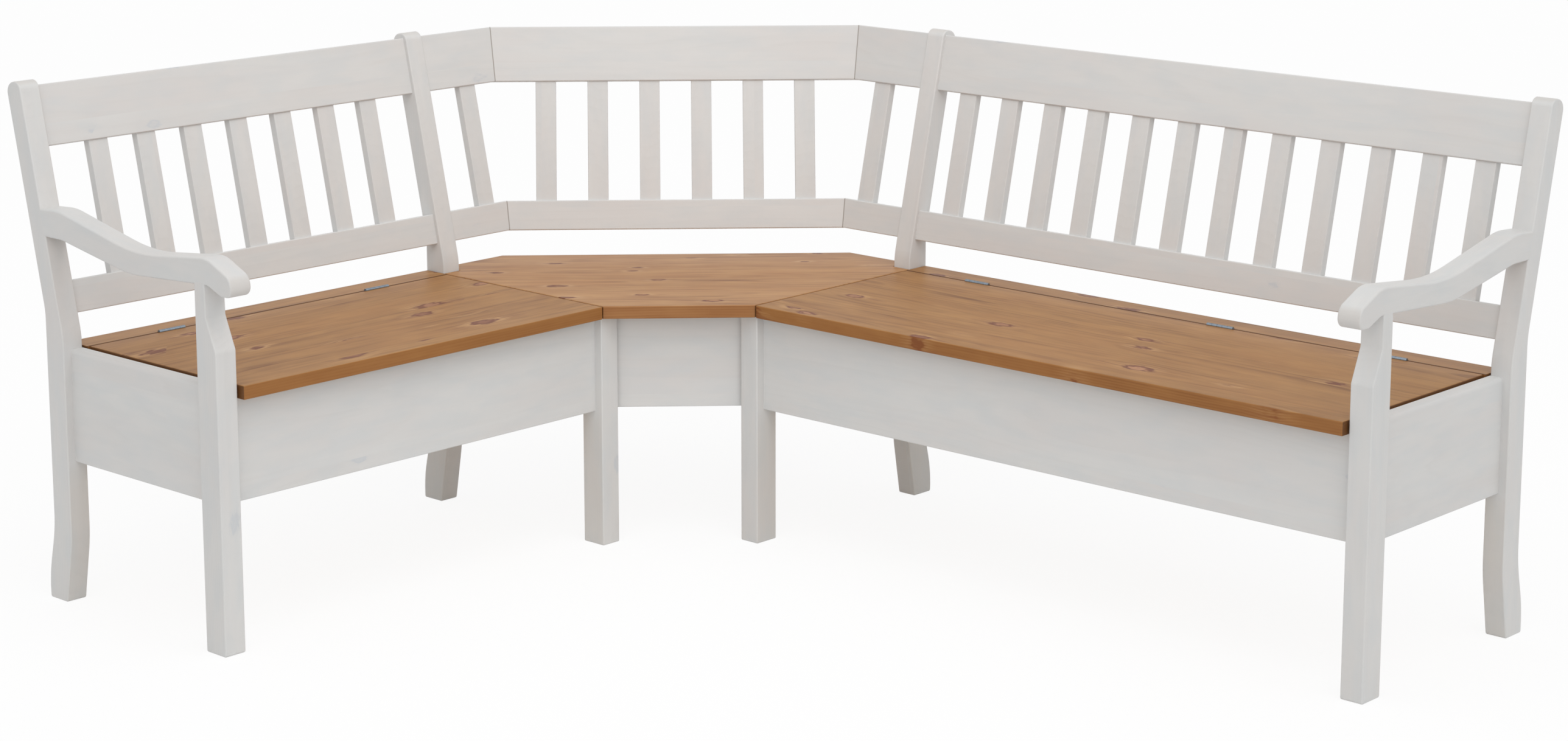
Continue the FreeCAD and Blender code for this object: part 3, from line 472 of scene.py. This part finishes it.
def crossScrew(length):
    # a screw that looks up at the origin: a spun profile less a cross
    made = bmesh.new()
    profile = [(0, 0), (screw["head"], 0), (screw["shank"], -screw["slope"]),
               (screw["shank"], -length + screw["tip"]), (0, -length)]
    verts = [made.verts.new((x, 0, z)) for x, z in profile]
    edges = [made.edges.new(pair) for pair in zip(verts, verts[1:])]
    bmesh.ops.spin(made, geom=verts + edges, cent=(0, 0, 0), axis=(0, 0, 1), dvec=(0, 0, 0),
                   angle=math.tau, steps=screw["sides"], use_merge=True, use_duplicate=False)
    bmesh.ops.remove_doubles(made, verts=made.verts, dist=screw["join"])
    bmesh.ops.recalc_face_normals(made, faces=made.faces)
    blank = bpy.data.meshes.new("screw blank")
    made.to_mesh(blank)
    made.clear()
    for wide, long in ((screw["crossWide"], screw["crossLong"]), (screw["crossLong"], screw["crossWide"])):
        bar = bmesh.ops.create_cube(made, size=2)["verts"]
        bmesh.ops.scale(made, verts=bar, vec=(wide / 2, long / 2, screw["crossDeep"]))
        for vert in bar:
            if vert.co.z < 0:  # the bit's taper
                vert.co.x *= screw["crossTaper"]
                vert.co.y *= screw["crossTaper"]
    cross = bpy.data.meshes.new("screw cross")
    made.to_mesh(cross)
    made.free()
    body = bpy.data.objects.new("screw blank", blank)
    cutter = bpy.data.objects.new("screw cross", cross)
    for thing in (body, cutter):
        bpy.context.scene.collection.objects.link(thing)
    cut = body.modifiers.new("cross", "BOOLEAN")
    cut.operation, cut.solver, cut.object, cut.use_self = "DIFFERENCE", "EXACT", cutter, True
    bpy.context.view_layer.update()
    done = bpy.data.meshes.new_from_object(body.evaluated_get(bpy.context.evaluated_depsgraph_get()))
    for thing in (body, cutter):
        bpy.data.objects.remove(thing)
    return done


def screwPlace(points):
    # the middle of a plain screw's head face, the way it looks, and the screw's length
    low = Vector([min(point[i] for point in points) for i in range(3)])
    high = Vector([max(point[i] for point in points) for i in range(3)])
    middle = (low + high) / 2
    axis = max(range(3), key=lambda i: high[i] - low[i])
    widest = max(points, key=lambda point: (point - middle).length - abs(point[axis] - middle[axis]))
    length = round(high[axis] - low[axis], 5)
    towards = Vector((0, 0, 0))
    towards[axis] = math.copysign(1, widest[axis] - middle[axis])
    return middle + towards * length / 2, towards, length


def screwRow(name, node, body):
    loose = bmesh.new()
    loose.from_mesh(nodes[node].data)
    bmesh.ops.remove_doubles(loose, verts=loose.verts, dist=screw["join"])
    row = bmesh.new()
    blanks = {}
    for index, points in enumerate(islands(loose)):
        head, towards, length = screwPlace(points)
        if length not in blanks:
            blanks[length] = crossScrew(length)
        before = len(row.verts)
        row.from_mesh(blanks[length])
        row.verts.ensure_lookup_table()
        turned = towards.to_track_quat("Z", "Y").to_matrix().to_4x4()
        turned = Matrix.Translation(head) @ turned @ Matrix.Rotation(index * screw["turn"], 4, "Z")
        bmesh.ops.transform(row, matrix=turned, verts=row.verts[before:])
    loose.free()
    made = bpy.data.meshes.new(name)
    row.to_mesh(made)
    row.free()
    piece = bpy.data.objects.new(name, made)
    bpy.context.scene.collection.objects.link(piece)
    made.materials.clear()
    made.materials.append(zincScrew)
    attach(piece, body)
    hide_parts(node)


screwRow("cross_strip_screws", "strip_screws", "frame")
for bench in benches:
    screwRow(f"cross_{bench}_lid_screws", f"{bench}_lid_screws", f"{bench}_lid")
    screwRow(f"cross_{bench}_batten_screws", f"{bench}_batten_screws", f"{bench}_lid")
print("screws")

# a studio with soft light from above and from the camera's side. The surroundings look white,
# and only the light that they throw on the object is kept low
studio = dict(
    sky=0.62, key=0.7, keyAngle=70, keyFrom=(0.75, -0.35, 1.0),
    fill=0.18, fillAngle=60, fillFrom=(0.55, -0.8, 0.4),
    box=8, boxSize=1.4, boxAt=(0.35, -0.3, 2.3), boxTowards=(-0.55, 0.45, 0.5),
    floorSize=40, paper="#F2F2F2", paperGlow=1.02, glowShare=0.88)


def seenDirectly(tree):
    # 1 for what the camera, gloss or glass sees, and 0 for the light that falls on things
    path = add(tree, "LightPath").outputs
    seen = path["Is Camera Ray"]
    for ray in ("Is Glossy Ray", "Is Transmission Ray"):
        seen = add(tree, "Math", {0: seen, 1: path[ray]}, operation="MAXIMUM").outputs[0]
    return seen


world = bpy.data.worlds.new("studio")
bpy.context.scene.world = world
tree = emptyTree(world)
level = add(tree, "MapRange", {0: seenDirectly(tree), 1: 0.0, 2: 1.0, 3: studio["sky"], 4: 1.0}).outputs[0]
sky = add(tree, "Background", {"Color": (1, 1, 1, 1), "Strength": level})
add(tree, "OutputWorld", {0: sky.outputs[0]})


def hangLamp(name, lamp, towards):
    holder = bpy.data.objects.new(name, lamp)
    holder.rotation_euler = towards.to_track_quat("Z", "Y").to_euler()
    bpy.context.scene.collection.objects.link(holder)
    return holder


for name in ("key", "fill"):
    lamp = bpy.data.lights.new(name, "SUN")
    lamp.energy, lamp.angle = studio[name], math.radians(studio[name + "Angle"])
    hangLamp(name, lamp, Vector(studio[name + "From"]))
lamp = bpy.data.lights.new("softbox", "AREA")
lamp.shape, lamp.size, lamp.energy = "DISK", studio["boxSize"], studio["box"]
softbox = hangLamp("softbox", lamp, Vector(studio["boxAt"]) - Vector(studio["boxTowards"]))
softbox.location = studio["boxAt"]

# white paper on the floor: matt and even, with a glow that leaves a little of the bench's shadow
bpy.ops.mesh.primitive_plane_add(size=studio["floorSize"])
floor = bpy.context.object
floor.name = "floor"
paper = bpy.data.materials.new("white paper floor")
tree = emptyTree(paper)
share = add(tree, "Math", {0: seenDirectly(tree), 1: studio["glowShare"]}, operation="MULTIPLY").outputs[0]
matt = add(tree, "BsdfDiffuse", {"Color": toLinear(studio["paper"])}).outputs[0]
glow = add(tree, "Emission", {"Color": (1, 1, 1, 1), "Strength": studio["paperGlow"]}).outputs[0]
both = add(tree, "MixShader", {0: share, 1: matt, 2: glow}).outputs[0]
add(tree, "OutputMaterial", {0: both})
floor.data.materials.append(paper)
floor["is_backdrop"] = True

# the photograph's viewpoint, in metres and radians, with a long lens in millimetres
cameraPlace = dict(
    at=(3.59666, -3.89184, 1.70455), yaw=0.74195, pitch=-0.1874, lens=72.317, shift=-0.09977, sensor=36)
lens = bpy.data.cameras.new("camera")
lens.sensor_width = cameraPlace["sensor"]
lens.lens, lens.shift_y = cameraPlace["lens"], cameraPlace["shift"]
camera = bpy.data.objects.new("camera", lens)
camera.location = cameraPlace["at"]
camera.rotation_euler = (math.pi / 2 + cameraPlace["pitch"], 0, cameraPlace["yaw"])
bpy.context.scene.collection.objects.link(camera)
bpy.context.scene.camera = camera
bpy.context.scene.view_settings.view_transform = "Standard"
print("studio")

low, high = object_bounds()
